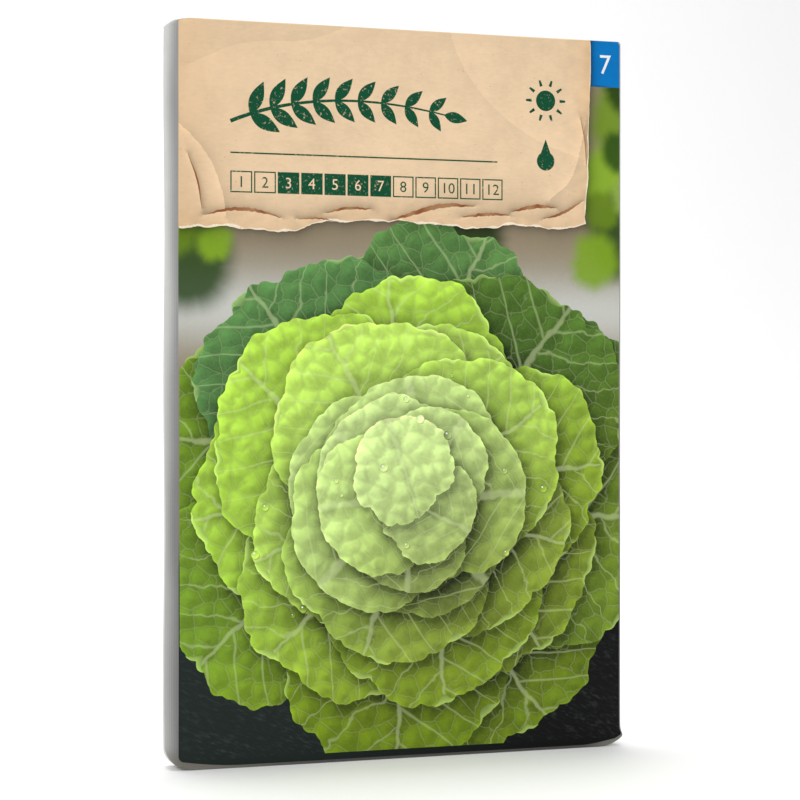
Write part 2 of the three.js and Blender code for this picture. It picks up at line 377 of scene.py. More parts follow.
def background(x, z):
    wall = blend(WALL * 0.8, WALL, (z - 60) / 80 + 0.1 * np.sin(x / 17))
    colour = blend(wall, PALE_SHELF, np.exp(-((z - 104) / 9) ** 2))
    for shape, leaf_colour, blur in blurred:
        colour = blend(colour, leaf_colour, 0.93 * soft_step(shape.places(x, z)[2], -blur, blur))
    slate = blend(SLATE_LIGHT, SLATE, soft_step(x + 0.35 * z, -40, 45))
    on_slate = soft_step(-z, -52, -42)
    place = np.stack([np.zeros(len(x)), np.zeros(len(x)), -on_slate], axis=1)
    return blend(colour, slate, on_slate), place


print_area([panel_line], background, PICTURE)


# Here and there a rim is rolled over, so that the leaf's paler underside shows.
def rolled_rim(leaf, start, span, width):
    angle = start + np.linspace(0, span, max(12, int(span * leaf.size / 0.3)))
    swell = np.sin(np.linspace(0, math.pi, len(angle))) ** 2
    rim = leaf.at(angle, leaf.edge(angle) + 0.12)
    roll = leaf.at(angle, leaf.edge(angle) - width * swell - 0.04)

    def colours(x, z):
        inside = leaf.places(x, z)[2]
        under = blend(leaf.colours(x, z)[0], LEAF_HEART, np.full(len(x), 0.3))
        fall = np.clip(inside / width, 0, 1)
        return no_leaf(under * (1.2 - 0.55 * fall)[:, None])

    print_area([np.concatenate([rim, roll[-2:0:-1]])], colours, PICTURE)


leaf_draw = np.random.default_rng(41)
for ring in LEAF_RINGS:
    for number in range(ring["count"]):
        heading = len(leaves) * GOLDEN_TURN + 0.4
        out = ring["out"] * leaf_draw.uniform(0.9, 1.1)
        x, z = HEAD_X + out * math.cos(heading), HEAD_Z + out * math.sin(heading)
        size = ring["size"] * leaf_draw.uniform(0.92, 1.08)
        shade = ring["shade"] + leaf_draw.uniform(-0.06, 0.06)
        shade -= 0.42 * max(0, math.sin(heading)) * (1 - ring["shade"]) ** 2
        turned = heading + ring["turn"] + leaf_draw.uniform(-0.25, 0.25)
        leaves.append(Leaf(x, z, turned, size, ring["frill"], shade, leaf_draw, rank=len(leaves) + 1))
rolled = sum(ring["count"] for ring in LEAF_RINGS[:ROLLED_RINGS])
for number, leaf in enumerate(leaves):
    print_area([leaf.outline()], leaf.colours, PICTURE)
    for roll in range(ROLLS if number < rolled else 0):
        start = -1.3 + 0.95 * roll + leaf_draw.uniform(0, 0.4)
        rolled_rim(leaf, start, leaf_draw.uniform(0.16, 0.42), leaf_draw.uniform(0.8, 2.0))


# Drops of water on the inner leaves: dark towards the lamp, bright on the far side, with a small white glint
# and a thin shade beside them.
DROPS = 16
GLINT = tone(250, 252, 246)
drop_draw = np.random.default_rng(7)


def round_outline(x, z, radius, steps=16):
    turn = np.linspace(0, 2 * math.pi, steps, endpoint=False)
    return np.stack([x + radius * np.cos(turn), z + radius * np.sin(turn)], axis=1)


def water_drop(x, z, radius):
    under = [leaf for leaf in leaves if leaf.places(np.array([x]), np.array([z]))[2][0] > 0][-1]

    def shade(px, pz):
        return no_leaf(under.colours(px, pz)[0] * 0.55)

    def water(px, pz):
        toward = ((px - x) * LAMP_SIDE[0] + (pz - z) * LAMP_SIDE[1]) / radius
        return no_leaf(under.colours(px, pz)[0] * (1.12 - 0.5 * toward)[:, None])

    print_area([round_outline(x - 0.2 * LAMP_SIDE[0], z - 0.2 * LAMP_SIDE[1], radius)], shade, PICTURE)
    print_area([round_outline(x, z, radius)], water, PICTURE)
    glint_x, glint_z = np.array([x, z]) + 0.45 * radius * LAMP_SIDE
    print_area([round_outline(glint_x, glint_z, 0.24 * radius, 8)], one_colour(GLINT), PICTURE)


for _ in range(DROPS):
    way, out = drop_draw.uniform(0, 2 * math.pi), drop_draw.uniform(9, 40)
    water_drop(HEAD_X + out * math.cos(way), HEAD_Z + out * math.sin(way), drop_draw.uniform(0.4, 1.1))


# The label: a printed strip of kraft paper with a torn edge, over the top of the picture. It is on the same
# sheet, so its tears, creases and folds are ink too, and only its grain is a little different.
KRAFT_LIGHT = tone(234, 205, 169)
KRAFT_WARM = tone(219, 178, 130)
FOLD_BROWN = tone(142, 84, 50)
TORN_PULP = tone(247, 230, 206)
LABEL_RIGHT = half_width - 7.6
LABEL_LOW = 122.5
OVER = 3
torn_draw = np.random.default_rng(11)


# A torn line: a coarse wander with finer and finer wanders on top of it.
def torn_line(start, goal, depth, step=0.45):
    start, goal = np.array(start, float), np.array(goal, float)
    length = np.linalg.norm(goal - start)
    share = np.linspace(0, 1, int(length / step))
    sideways = np.array([-(goal - start)[1], (goal - start)[0]]) / length
    wander = np.zeros(len(share))
    for knots, height in ((4, 1.0), (11, 0.5), (29, 0.22), (70, 0.1), (160, 0.06)):
        count = max(3, int(knots * length / 100))
        wander += height * np.interp(share * count, np.arange(count + 1), torn_draw.uniform(-1, 1, count + 1))
    wander *= np.minimum(1, np.minimum(share, 1 - share) * 30)
    return start + (goal - start) * share[:, None] + sideways * (depth * wander)[:, None]


label_side = torn_line((LABEL_RIGHT + 0.4, PANEL_HEIGHT + OVER), (LABEL_RIGHT - 1.2, LABEL_LOW + 3), 0.55)
label_edge = torn_line((LABEL_RIGHT - 1.2, LABEL_LOW + 3), (-half_width - OVER, LABEL_LOW), 1.9)
label_corner = [(-half_width - OVER, PANEL_HEIGHT + OVER)]
label_outline = np.concatenate([label_corner, label_edge[::-1], label_side[::-1][1:]])


def label_low_at(x):
    return np.interp(x, label_edge[::-1, 0], label_edge[::-1, 1])


def label_side_at(z):
    return np.interp(z, label_side[::-1, 1], label_side[::-1, 0])


def smooth_path(path, step=0.5):
    path = np.array(path, float)
    for _ in range(3):
        low, high = path[:-1] * 0.75 + path[1:] * 0.25, path[:-1] * 0.25 + path[1:] * 0.75
        path = np.concatenate([path[:1], np.stack([low, high], axis=1).reshape(-1, 2), path[-1:]])
    reach = np.concatenate([[0], np.cumsum(np.hypot(*np.diff(path, axis=0).T))])
    ticks = np.linspace(0, reach[-1], max(3, int(reach[-1] / step)))
    return np.stack([np.interp(ticks, reach, path[:, 0]), np.interp(ticks, reach, path[:, 1])], axis=1)


# Long creases: each has a path, how dark it is on its one side, and the width of its shade.
CREASES = [
    ([(-60, 150), (-49, 141), (-45, 132), (-44, 125.4)], 0.16, 2.2),
    ([(8, 180), (14, 160), (30, 146), (46, 141)], -0.05, 3.5),
    ([(-52, 160), (-40, 166), (-22, 166), (-6, 176)], 0.05, 2.8),
    ([(37, 131.5), (43, 136), (46, 150)], -0.13, 1.8),
]
CREASE_LINE = 0.1
creases = []
for crease_path, depth, width in CREASES:
    line = smooth_path(crease_path)
    creases.append((line + 0.1 * torn_draw.uniform(-1, 1, line.shape), depth, width))


# How far each point lies from a path, and on which side of it.
def side_of_path(path, x, z):
    nearest = np.full(len(x), 1e9)
    side = np.zeros(len(x))
    for (ax, az), (bx, bz) in zip(path[:-1], path[1:]):
        run_x, run_z = bx - ax, bz - az
        share = np.clip(((x - ax) * run_x + (z - az) * run_z) / (run_x ** 2 + run_z ** 2), 0, 1)
        away = np.hypot(x - ax - share * run_x, z - az - share * run_z)
        closer = away < nearest
        nearest = np.where(closer, away, nearest)
        side = np.where(closer, np.sign((x - ax) * run_z - (z - az) * run_x), side)
    return nearest, side


# Short folds along the torn edge, each a path and a width: a brown line of shade, with the paper raised and
# pale just below it.
FOLDS = [
    ([(-49, 125.2), (-43, 127.0), (-36, 126.6), (-31, 125.0)], 0.8),
    ([(-20, 126.4), (-15, 127.8), (-9, 127.6)], 0.65),
    ([(-4, 125.0), (3, 127.4), (10, 129.3), (17, 128.9)], 1.1),
    ([(14, 126.2), (20, 127.3), (26, 127.0)], 0.75),
    ([(27, 128.0), (33, 129.6), (38, 129.2)], 0.95),
    ([(35, 126.4), (40, 127.8), (45.2, 131.0)], 0.65),
    ([(-53, 139), (-50.5, 133), (-49.8, 127)], 0.4),
    ([(44.6, 151), (45.9, 146), (46.2, 140)], 0.3),
    ([(-27, 124.8), (-22, 125.2), (-18, 124.6)], 0.35),
]
folds = []
for fold_path, width in FOLDS:
    line = smooth_path(fold_path)
    line[:, 1] += 0.12 * torn_draw.uniform(-1, 1, len(line))
    folds.append((line, width))


def kraft(x, z):
    side_edge = label_side_at(z)
    rim = np.minimum(z - label_low_at(x), side_edge - x)
    warm = 0.42 * np.exp(-np.maximum(rim, 0) / 3.0) + 0.35 * np.exp(-(x + half_width) / 9)
    warm += 0.3 * np.exp(-np.maximum(side_edge - x, 0) / 2.2) * soft_step(z, 140, 160)
    colour = blend(KRAFT_LIGHT, KRAFT_WARM, warm)
    light = 1 - 0.05 * soft_step(z, 150, 172)
    crumple = np.sin(0.8 * x + 2.1 * np.sin(0.55 * z + 0.21 * x)) * np.sin(0.37 * x - 0.9 * z)
    light += 0.07 * crumple * np.exp(-np.maximum(rim, 0) / 4.5)
    for line, depth, width in creases:
        away, side = side_of_path(line, x, z)
        light += depth * np.where(side > 0, 0.8, -1.0) * np.exp(-away / width)
    for line, _ in folds:
        away, side = side_of_path(line, x, z)
        shaded = -0.34 * np.exp(-away / 0.9) - 0.13 * np.exp(-away / 3.0)
        raised = 0.2 * np.exp(-away / 0.9) - 0.12 * np.exp(-away / 2.6)
        light += np.where(side < 0, shaded, raised)
    return no_leaf(colour * light[:, None])


# The torn edge shows a fringe of the paper's paler inside, so the kraft's face ends a little before it.
def fringe(count, low=0.15, high=0.85):
    knots = np.linspace(0, count - 1, max(4, count // 4))
    return np.interp(np.arange(count), knots, torn_draw.uniform(low, high, len(knots)) ** 1.3)


face_edge = label_edge + np.stack([np.zeros(len(label_edge)), fringe(len(label_edge))], axis=1)
face_side = label_side - np.stack([fringe(len(label_side), 0.05, 0.45), np.zeros(len(label_side))], axis=1)
face_edge[0] = face_side[-1] = (label_edge[0] + (-0.5, 0.5))
face_outline = np.concatenate([label_corner, face_edge[::-1], face_side[::-1][1:]])


def torn_pulp(x, z):
    speckle = 0.06 * np.sin(7.0 * x + 3.1 * z) + 0.05 * np.sin(13.7 * x - 5.0 * z)
    return no_leaf(TORN_PULP * (0.97 + speckle)[:, None])


print_area([label_outline], torn_pulp, KRAFT)
print_area([face_outline], kraft, KRAFT)


def fold_brown(x, z):
    vary = 0.5 + 0.5 * np.sin(x * 0.9 + 2 * np.sin(x * 0.37))
    return no_leaf(blend(FOLD_BROWN, KRAFT_WARM * 0.8, 0.45 * vary))


# The shade that the label throws on the picture round it.
def label_shade(x, z):
    away = np.hypot(np.maximum(label_low_at(x - 0.5) - z, 0), np.maximum(x - label_side_at(z), 0))
    return 1 - 0.6 * np.exp(-away / 1.6)


# The label's print in dark green ink: a leafy sprig, a sun, a drop, a thin rule and a bar of twelve numbered
# boxes. The ink is a little worn.
GREEN_INK = tone(10, 78, 50)
SPRIG_START = np.array([-43.0, 147.0])
SPRIG_BEND = np.array([-20.0, 157.0])
SPRIG_END = np.array([12.0, 150.0])
SPRIG_LEAVES = 9


def stroke(path, widths):
    path = np.asarray(path, float)
    run = np.gradient(path, axis=0)
    run /= np.linalg.norm(run, axis=1)[:, None]
    side = np.stack([-run[:, 1], run[:, 0]], axis=1) * np.asarray(widths)[:, None] / 2
    return np.concatenate([path + side, (path - side)[::-1]])


def almond(start, heading, length, width):
    share = np.linspace(0, 1, 14)
    out = width / 2 * np.sin(math.pi * share ** 0.85)
    along = np.concatenate([share, share[-2:0:-1]]) * length
    across = np.concatenate([out, -out[-2:0:-1]])
    turned_x = along * math.cos(heading) - across * math.sin(heading)
    turned_z = along * math.sin(heading) + across * math.cos(heading)
    return np.stack([start[0] + turned_x, start[1] + turned_z], axis=1)


for line, _, _ in creases:
    print_area([stroke(line, np.full(len(line), CREASE_LINE))], kraft, KRAFT)
for line, width in folds:
    swell = np.sin(np.linspace(0.06, math.pi - 0.06, len(line))) ** 0.8
    print_area([stroke(line, width * swell)], fold_brown, KRAFT)


def sprig_at(share):
    low = SPRIG_START + (SPRIG_BEND - SPRIG_START) * share
    high = SPRIG_BEND + (SPRIG_END - SPRIG_BEND) * share
    return low + (high - low) * share


sprig = [stroke([sprig_at(s) for s in np.linspace(0, 0.97, 24)], np.linspace(0.9, 0.35, 24))]
for number in range(1, SPRIG_LEAVES + 1):
    share = number / (SPRIG_LEAVES + 1)
    place = sprig_at(share)
    run = sprig_at(share + 0.01) - place
    heading = math.atan2(run[1], run[0])
    for side in (-1, 1):
        sprig.append(almond(place, heading + side * math.radians(48), 8.6 - 3.4 * share, 3.4 - 1.2 * share))
sprig.append(almond(sprig_at(0.96), math.atan2(*(SPRIG_END - sprig_at(0.96))[::-1]), 6.0, 2.6))
SUN_X, SUN_Z, SUN_RADIUS, SUN_RAYS = 35.5, 155.0, 2.5, 10
sun = [round_outline(SUN_X, SUN_Z, SUN_RADIUS, 28)]
for number in range(SUN_RAYS):
    turn = 2 * math.pi * number / SUN_RAYS
    way = np.array([math.cos(turn), math.sin(turn)])
    ray = [np.array([SUN_X, SUN_Z]) + way * reach for reach in np.linspace(1.45, 2.05, 4) * SUN_RADIUS]
    sun.append(stroke(ray, [0.75, 0.7, 0.6, 0.45]))
DROP_X, DROP_Z, DROP_RADIUS = 35.5, 140.4, 2.3
turn = np.linspace(0.68 * math.pi, 2.32 * math.pi, 22)
drop = np.stack([DROP_X + DROP_RADIUS * np.cos(turn), DROP_Z + DROP_RADIUS * np.sin(turn)], axis=1)
drop = np.concatenate([drop, [(DROP_X, DROP_Z + 2.3 * DROP_RADIUS)]])
for piece in sprig + sun + [drop]:
    print_area([piece], one_colour(GREEN_INK), WORN_INK)


def box(left, bottom, width, height):
    corners = [(0, 0), (width, 0), (width, height), (0, height)]
    return np.array(corners, float) + (left, bottom)


# Plain figures, as the outlines of their shapes.
def figures(text, height, x, z):
    curve = bpy.data.curves.new("figures", "FONT")
    curve.body = text
    curve.size = 1
    curve.align_x = "CENTER"
    curve.fill_mode = "NONE"
    curve.resolution_u = 4
    holder = bpy.data.objects.new("figures", curve)
    lines = bpy.data.meshes.new_from_object(holder)
    points = np.array([tuple(v.co)[:2] for v in lines.vertices])
    tall = points[:, 1].max() - points[:, 1].min()
    points = (points - [0, points[:, 1].min()]) * height / tall + [x, z]
    beside = {}
    for edge in lines.edges:
        for near, far in (edge.vertices, tuple(edge.vertices)[::-1]):
            beside.setdefault(near, []).append(far)
    shapes = []
    while beside:
        here = next(iter(beside))
        loop = []
        while here in beside:
            loop.append(here)
            ways = beside.pop(here)
            here = next((way for way in ways if way in beside), None)
        shapes.append(points[loop])
    bpy.data.meshes.remove(lines)
    bpy.data.objects.remove(holder)
    bpy.data.curves.remove(curve)
    return shapes


BAR_LEFT, BAR_LOW = -43.0, 130.6
BAR_BOX, BAR_TALL, BAR_GAP = 5.2, 5.0, 0.45
BAR_LINE = 0.3
FIGURE_TALL = 2.5
RULE_LOW, RULE_LONG, RULE_THICK = 139.6, 66, 0.35
SOWING_MONTHS = (3, 4, 5, 6, 7)
print_area([box(BAR_LEFT, RULE_LOW, RULE_LONG, RULE_THICK)], one_colour(GREEN_INK), WORN_INK)
for month in range(1, 13):
    left = BAR_LEFT + (month - 1) * (BAR_BOX + BAR_GAP)
    print_area([box(left, BAR_LOW, BAR_BOX, BAR_TALL)], one_colour(GREEN_INK), WORN_INK)
    is_sowing = month in SOWING_MONTHS
    if not is_sowing:
        inner = box(left + BAR_LINE, BAR_LOW + BAR_LINE, BAR_BOX - 2 * BAR_LINE, BAR_TALL - 2 * BAR_LINE)
        print_area([inner], kraft, KRAFT)
    figure = figures(str(month), FIGURE_TALL, left + BAR_BOX / 2, BAR_LOW + (BAR_TALL - FIGURE_TALL) / 2)
    print_area(figure, one_colour(KRAFT_LIGHT if is_sowing else GREEN_INK), KRAFT if is_sowing else WORN_INK)


# The blue tab at the top right corner of the print, in solid ink with a plain figure. The label throws a
# shade on its left.
TAB_BLUE = tone(0, 117, 190)
TAB_WHITE = tone(238, 240, 240)
TAB_TALL = 11
TAB_FIGURE_TALL = 4.6


def tab_print(x, z):
    shaded = np.exp(-np.maximum(x - LABEL_RIGHT, 0) / 0.8)
    return no_leaf(TAB_BLUE * (1 - 0.75 * shaded)[:, None])


tab_outline = box(LABEL_RIGHT, PANEL_HEIGHT - TAB_TALL, half_width + OVER - LABEL_RIGHT, TAB_TALL + OVER)
print_area([tab_outline], tab_print, SOLID_INK)
tab_middle = (LABEL_RIGHT + half_width) / 2
tab_figure = figures("7", TAB_FIGURE_TALL, tab_middle, PANEL_HEIGHT - (TAB_TALL + TAB_FIGURE_TALL) / 2)
print_area(tab_figure, one_colour(TAB_WHITE), SOLID_INK)


# The front of the sheet: a fine net of triangles that follows the outline of every printed area, so that each
# print has a sharp edge. Between the outlines its points stand in rows, each row half a step aside.
NET_STEP = 0.75
NET_CLEAR = 0.28
ROW_STEP = 0.866


def net_points(outlines, step):
    fixed = np.concatenate(outlines)
    tree = KDTree(len(fixed))
    for number, (x, z) in enumerate(fixed):
        tree.insert((x, z, 0), number)
    tree.balance()
    rows = int(PANEL_HEIGHT / (step * ROW_STEP))
    columns = int(PANEL_WIDTH / step)
    points = []
    for row in range(1, rows):
        z = row * PANEL_HEIGHT / rows
        for column in range(1, columns):
            x = -half_width + (column + 0.5 * (row % 2) - 0.25) * PANEL_WIDTH / columns
            if tree.find((x, z, 0))[2] > NET_CLEAR:
                points.append((x, z))
    return points


# Which places lie inside an area. Where its outlines lie in one another, the inner one is a hole.
def inside_area(outlines, places):
    inside = np.zeros(len(places), bool)
    for outline in outlines:
        low, high = outline.min(axis=0), outline.max(axis=0)
        near = np.nonzero(((places > low) & (places < high)).all(axis=1))[0]
        x, z = places[near].T
        crossed = np.zeros(len(near), bool)
        for (ax, az), (bx, bz) in zip(outline, np.roll(outline, -1, axis=0)):
            if az != bz:
                level = (az > z) != (bz > z)
                crossed ^= level & (x < ax + (z - az) * (bx - ax) / (bz - az))
        inside[near] ^= crossed
    return inside


# Triangles over the first area, cut along the outlines of all, each with the topmost area that it is in.
def triangulate(areas, step):
    areas = [[np.asarray(outline, float) for outline in outlines] for outlines in areas]
    points, edges = [], []
    for outline in sum(areas, []):
        first, count = len(points), len(outline)
        edges += [(first + i, first + (i + 1) % count) for i in range(count)]
        points += [Vector(place) for place in outline]
    points += [Vector(place) for place in net_points(sum(areas, []), step)]
    places, _, faces = delaunay_2d_cdt(points, edges, [], 0, 1e-4, False)[:3]
    places, faces = np.array([tuple(place) for place in places]), np.array(faces)
    middles = places[faces].mean(axis=1)
    top = np.full(len(faces), -1)
    for number, outlines in enumerate(areas):
        top[inside_area(outlines, middles)] = number
    shown = inside_area(areas[0], middles)
    used, faces = np.unique(faces[shown], return_inverse=True)
    return places[used], faces.reshape(-1, 3), top[shown]


front_places, front_faces, front_areas = triangulate([area[0] for area in printed_areas], NET_STEP)


# The points on the rim of the net, in order round it.
def rim_of(faces):
    sides = {(face[i], face[(i + 1) % 3]) for face in faces.tolist() for i in range(3)}
    following = {a: b for a, b in sides if (b, a) not in sides}
    rim = [next(iter(following))]
    while following[rim[-1]] != rim[0]:
        rim.append(following[rim[-1]])
    return rim


# Where each place lies along the panel's line, counted in points of that line.
def steps_along(line, places):
    start, goal = line, np.roll(line, -1, axis=0)
    run = goal - start
    length = (run ** 2).sum(axis=1)
    found = []
    for place in places:
        share = np.clip(((place - start) * run).sum(axis=1) / length, 0, 1)
        gap = ((start + run * share[:, None] - place) ** 2).sum(axis=1)
        nearest = int(gap.argmin())
        found.append(nearest + share[nearest])
    return np.array(found)


def value_at(values, steps):
    closed = np.concatenate([values, values[:1]])
    ticks = np.arange(len(closed))
    if values.ndim == 1:
        return np.interp(steps, ticks, closed)
    return np.stack([np.interp(steps, ticks, column) for column in closed.T], axis=1)


rim = np.array(rim_of(front_faces))
rim_steps = steps_along(panel_line, front_places[rim])
order = np.argsort(rim_steps)
rim, rim_steps = rim[order], rim_steps[order]
rim_places = front_places[rim]
rim_out = value_at(widest_line, rim_steps) - rim_places
rim_front_fold = value_at(values_round(LEFT_FOLD, BOTTOM_FOLD_FRONT, RIGHT_FOLD, TOP_FOLD), rim_steps)
rim_back_fold = value_at(values_round(LEFT_FOLD, BOTTOM_FOLD_BACK, RIGHT_FOLD, TOP_FOLD), rim_steps)
rim_count = len(rim)


# How far the front panel lies behind the flat, in soft waves.
def front_wave(x, z):
    return 0.17 + 0.10 * np.sin(x / 13.0 + z / 21.0 + 0.7) + 0.07 * np.sin(x / 7.5 - z / 9.7 + 2.1)


# The folds of the sheet run ring by ring from the front's rim to the back's. The print goes part of the way
# round the bottom fold and over the top, and ends close to the edge of the panel at the sides.
PRINT_WRAP = math.radians(44)
PRINT_EDGE = math.radians(5)
PRINT_OVER_TOP = math.radians(80)
FRONT_RINGS, SIDE_RINGS, BACK_RINGS = 4, 7, 6
vertices = [np.stack([front_places[:, 0], front_wave(*front_places.T), front_places[:, 1]], axis=1)]
rim_x, rim_z = rim_places.T
along_bottom = np.sqrt(soft_step(rim_x + half_width, 0, 14) * soft_step(half_width - rim_x, 0, 7))
print_turn = PRINT_EDGE + np.where(rim_z < 0.05, (PRINT_WRAP - PRINT_EDGE) * along_bottom, 0)
over_top = (rim_z > PANEL_HEIGHT - 0.05) & (rim_x > -half_width + 1.5)
print_turn = np.where(over_top, PRINT_OVER_TOP, print_turn)
left_side = np.where(rim_x < 0, 1.0, 0.0)
side_wave = np.ones((rim_count, 2))
side_wave[:, 0] += left_side * (0.05 * np.sin(rim_z / 11) + 0.08 * soft_step(-rim_z, -120, 0))

# At the top left corner the fold ends a little lower than the front. It drops at once behind the front, and
# rises again more slowly towards the back.
CORNER_DROP, CORNER_TALL, CORNER_LONG = 0.75, 9, 4
DROP_TURN, RISE_TURN = 0.4, 1.3
high_left = soft_step(rim_z, PANEL_HEIGHT - CORNER_TALL, PANEL_HEIGHT - 0.5)
high_left *= np.clip((CORNER_LONG - half_width - rim_x) / CORNER_LONG, 0, 1)
rings = [(print_turn * k / FRONT_RINGS, False) for k in range(1, FRONT_RINGS + 1)]
rings += [(print_turn + (math.pi / 2 - print_turn) * k / SIDE_RINGS, False) for k in range(1, SIDE_RINGS + 1)]
rings += [(np.full(rim_count, math.pi / 2) * (1 - k / BACK_RINGS), True) for k in range(BACK_RINGS + 1)]
ring_points = [rim]
made = len(front_places)
for turn, behind in rings:
    place = rim_places + rim_out * side_wave * np.sin(turn)[:, None]
    place[:, 1] -= CORNER_DROP * high_left * soft_step(turn, 0, RISE_TURN if behind else DROP_TURN)
    if behind:
        y = POUCH_DEPTH - rim_back_fold * (1 - np.cos(turn))
    else:
        y = rim_front_fold * (1 - np.cos(turn)) + front_wave(rim_x, rim_z) * np.cos(turn)
    ring_points.append(made + np.arange(rim_count))
    made += rim_count
    vertices.append(np.stack([place[:, 0], y, place[:, 1]], axis=1))

# At the low right corner the fold's edge sticks out in a small curled tip.
TIP_REACH, TIP_OUT, TIP_LIFT = 1.7, 0.75, 0.35
sheet = np.concatenate(vertices)
near_tip = np.exp(-(((sheet[:, 0] - half_width) ** 2 + (sheet[:, 2] + 0.4) ** 2) / TIP_REACH ** 2))
near_tip *= soft_step(-sheet[:, 1], -4.0, -1.0) * soft_step(sheet[:, 0], half_width - 1.2, half_width + 0.1)
sheet[:, 0] += TIP_OUT * near_tip
sheet[:, 2] += TIP_LIFT * near_tip
vertices = [sheet]

faces = [front_faces]
finishes = [np.array([printed_areas[area][2] for area in front_areas])]
for number, (near, far) in enumerate(zip(ring_points[:-1], ring_points[1:])):
    near_next, far_next = np.roll(near, -1), np.roll(far, -1)
    band = np.stack([near, far, far_next, near, far_next, near_next], axis=1).reshape(-1, 3)
    faces.append(band)
    finishes.append(np.full(len(band), PICTURE if number < FRONT_RINGS else BARE))
band_size = 2 * rim_count


# The back of the pouch: plain unprinted paper, closed by a long lap seam and by a glued flap at each end.
# Each lap stands up by the thickness of the paper, and the panel between them is a little sunk.
LAP = 0.2
SEAM_X, SEAM_WIDTH, SEAM_SLOPE = 9, 14, 3
BOTTOM_FLAP, TOP_FLAP = 19, 24
FLAP_SIDE, FLAP_CUT, FLAP_EDGE = 1.2, 5, 0.6
CRISP, FADING = 0.12, 2
SUNK, SUNK_IN = 0.25, 12
BACK_STEP = 1.6


# A lap with straight edges: for each a point on it, the direction into the lap, and the width of its step.
def lap_edges(corners, steps):
    corners = np.asarray(corners, float)
    edges = []
    for (ax, az), (bx, bz), step in zip(corners, np.roll(corners, -1, axis=0), steps):
        length = math.hypot(bx - ax, bz - az)
        edges.append(((ax, az), (-(bz - az) / length, (bx - ax) / length), step))
    return edges


def lap_height(edges, x, z):
    share = np.ones(len(x))
    for (ax, az), (inx, inz), step in edges:
        share = np.minimum(share, ((x - ax) * inx + (z - az) * inz) / step)
    return LAP * np.clip(share, 0, 1)


# The outline of a lap at its foot, at share 0 of the step, or where it reaches its full height, at share 1.
def lap_outline(edges, share):
    points = []
    for before, after in zip(edges[-1:] + edges[:-1], edges):
        sides = np.array([before[1], after[1]])
        reach = [np.dot(e[1], e[0]) + share * e[2] for e in (before, after)]
        points.append(np.linalg.solve(sides, reach))
    return np.array(points)


flap_left, flap_right = -half_width + FLAP_SIDE, half_width - FLAP_SIDE
seam_left = SEAM_X - panel_x - SEAM_WIDTH / 2
seam = lap_edges(
    [
        (seam_left - SEAM_SLOPE, 1),
        (seam_left + SEAM_WIDTH, 1),
        (seam_left + SEAM_WIDTH, PANEL_HEIGHT - 1),
        (seam_left - SEAM_SLOPE, PANEL_HEIGHT - 1),
    ],
    [FADING, CRISP, FADING, SEAM_SLOPE],
)
bottom_flap = lap_edges(
    [
        (flap_left, FLAP_EDGE),
        (flap_right, FLAP_EDGE),
        (flap_right, BOTTOM_FLAP - FLAP_CUT),
        (flap_right - FLAP_CUT, BOTTOM_FLAP),
        (flap_left + FLAP_CUT, BOTTOM_FLAP),
        (flap_left, BOTTOM_FLAP - FLAP_CUT),
    ],
    [FADING, CRISP, CRISP, CRISP, CRISP, CRISP],
)
top_low = PANEL_HEIGHT + TOP_BULGE - TOP_FLAP
top_flap = lap_edges(
    [
        (flap_left + FLAP_CUT, top_low),
        (flap_right - FLAP_CUT, top_low),
        (flap_right, top_low + FLAP_CUT),
        (flap_right, PANEL_HEIGHT - FLAP_EDGE),
        (flap_left, PANEL_HEIGHT - FLAP_EDGE),
        (flap_left, top_low + FLAP_CUT),
    ],
    [CRISP, CRISP, CRISP, FADING, CRISP, CRISP],
)
laps = [seam, bottom_flap, top_flap]
back_areas = [[rim_places]] + [[lap_outline(lap, share)] for lap in laps for share in (0, 1)]
back_places, back_faces, _ = triangulate(back_areas, BACK_STEP)
back_x, back_z = back_places.T
raised = sum(lap_height(lap, back_x, back_z) for lap in laps)
away = np.minimum(half_width - np.abs(back_x), np.minimum(back_z, PANEL_HEIGHT - back_z))
waves = 1 + 0.5 * np.sin(back_x / 12 + back_z / 17) + 0.3 * np.sin(back_z / 8 - back_x / 9)
sunk = SUNK * soft_step(away, 0, SUNK_IN) * waves
last_ring = ring_points[-1]
steps = steps_along(rim_places, back_places)
rim_number = np.rint(steps).astype(int) % rim_count
gap = np.linalg.norm(rim_places[rim_number] - back_places, axis=1)
inner = gap >= 1e-3
back_ids = last_ring[rim_number]
back_ids[inner] = made + np.arange(inner.sum())
vertices.append(np.stack([back_x, POUCH_DEPTH + raised - sunk, back_z], axis=1)[inner])
faces.append(back_ids[back_faces][:, ::-1])
finishes.append(np.full(len(back_faces), BARE))


# The whole sheet in one mesh, with the colour of the ink or the paper at each corner of each triangle. The
# bare sides get painted shade: grey in the fold by the print, pale towards the back, darker lower down.
PULL_IN = 0.04
vertices, faces, finishes = np.concatenate(vertices), np.concatenate(faces), np.concatenate(finishes)
mesh = bpy.data.meshes.new("paper_pouch_sheet")
mesh.from_pydata((vertices + [panel_x, front_y, panel_z]) * MM, [], faces.tolist())
mesh.polygons.foreach_set("use_smooth", np.ones(len(faces), bool))
mesh.polygons.foreach_set("material_index", finishes.astype(np.int32))
